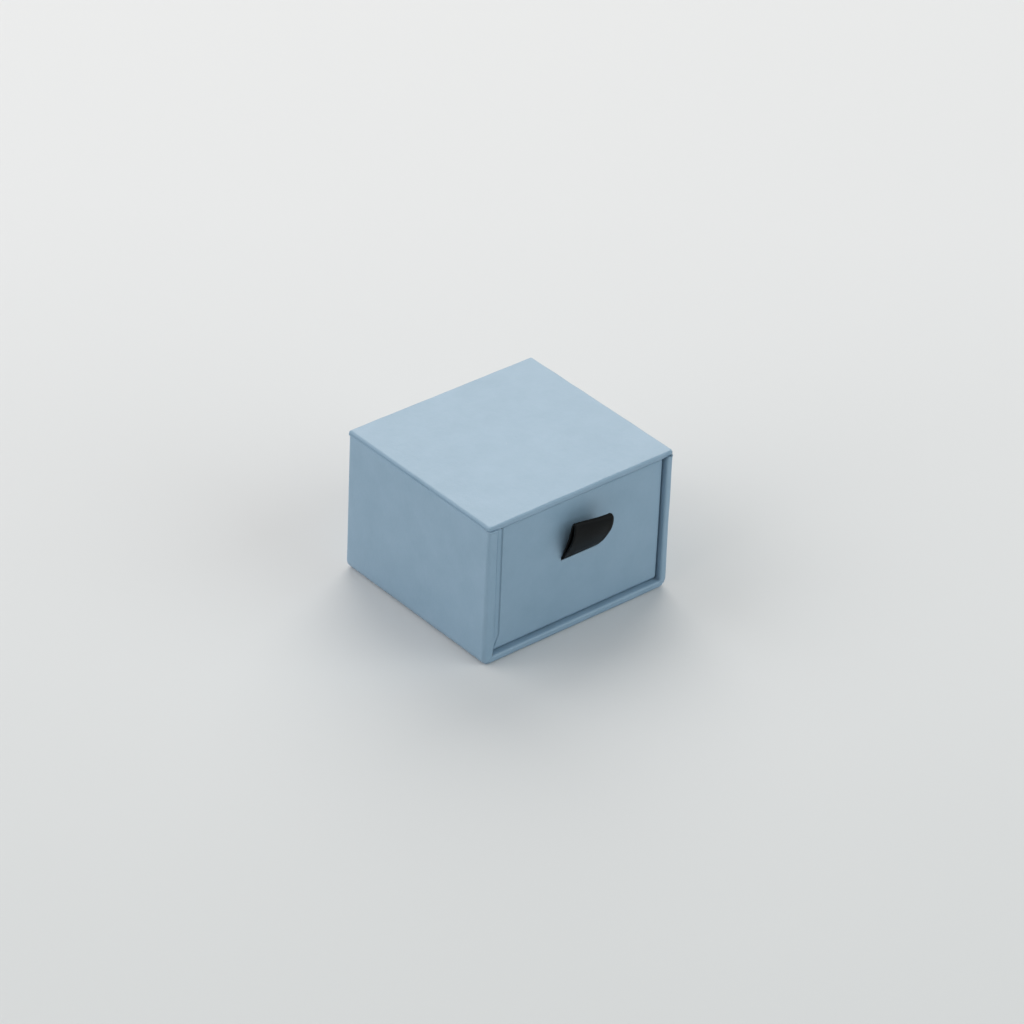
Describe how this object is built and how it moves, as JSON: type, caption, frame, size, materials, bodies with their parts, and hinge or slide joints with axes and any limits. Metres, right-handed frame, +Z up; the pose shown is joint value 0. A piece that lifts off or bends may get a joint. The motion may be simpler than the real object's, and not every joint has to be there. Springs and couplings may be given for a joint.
{
  "type": "ring box with drawer",
  "caption": "Small paper-covered ring box: a sleeve open at the front holds a sliding drawer with a ribbon pull and a slit velvet pad.",
  "frame": {"origin": "middle of the sleeve's underside, on the surface that the box stands on", "axes": "+Z up; the drawer opens towards -Y; +X is to the right seen from the front"},
  "size_m": [0.05, 0.0505, 0.034],
  "materials": {
    "cover_paper": "satin",
    "greyboard": "matte",
    "lining_paper": "matte",
    "stay_tape": "matte",
    "base_card": "matte",
    "foam": "matte",
    "velvet": "matte",
    "ribbon": "satin"
  },
  "bodies": {
    "sleeve": {"sleeve_wall_board": "greyboard", "sleeve_glue_flap": "greyboard", "sleeve_back_board": "greyboard", "sleeve_top_board": "greyboard", "sleeve_corner_stays": "stay_tape", "sleeve_wrap": "cover_paper", "sleeve_top_wrap": "cover_paper", "sleeve_lining": "lining_paper", "sleeve_top_lining": "lining_paper"},
    "drawer": {"drawer_front_board": "greyboard", "drawer_back_board": "greyboard", "drawer_left_board": "greyboard", "drawer_right_board": "greyboard", "drawer_bottom_board": "greyboard", "drawer_corner_stays": "stay_tape", "drawer_wrap": "cover_paper", "drawer_wall_lining": "lining_paper", "drawer_floor_lining": "lining_paper", "pad_base_card": "base_card", "pad_front_roll": "foam", "pad_back_roll": "foam", "pad_cover": "velvet", "pull_tails": "ribbon", "tail_patch": "lining_paper"},
    "pull": {"pull_loop": "ribbon"}
  },
  "joints": [
    {"name": "drawer_slide", "type": "slide", "parent": "sleeve", "child": "drawer", "axis": [0, -1, 0], "range_m": [0, 0.044]},
    {"name": "pull_tilt", "type": "hinge", "parent": "drawer", "child": "pull", "pos_m": [0.0007, -0.0227, 0.0181], "axis": [1, 0, 0], "range_deg": [-12, 125]}
  ]
}
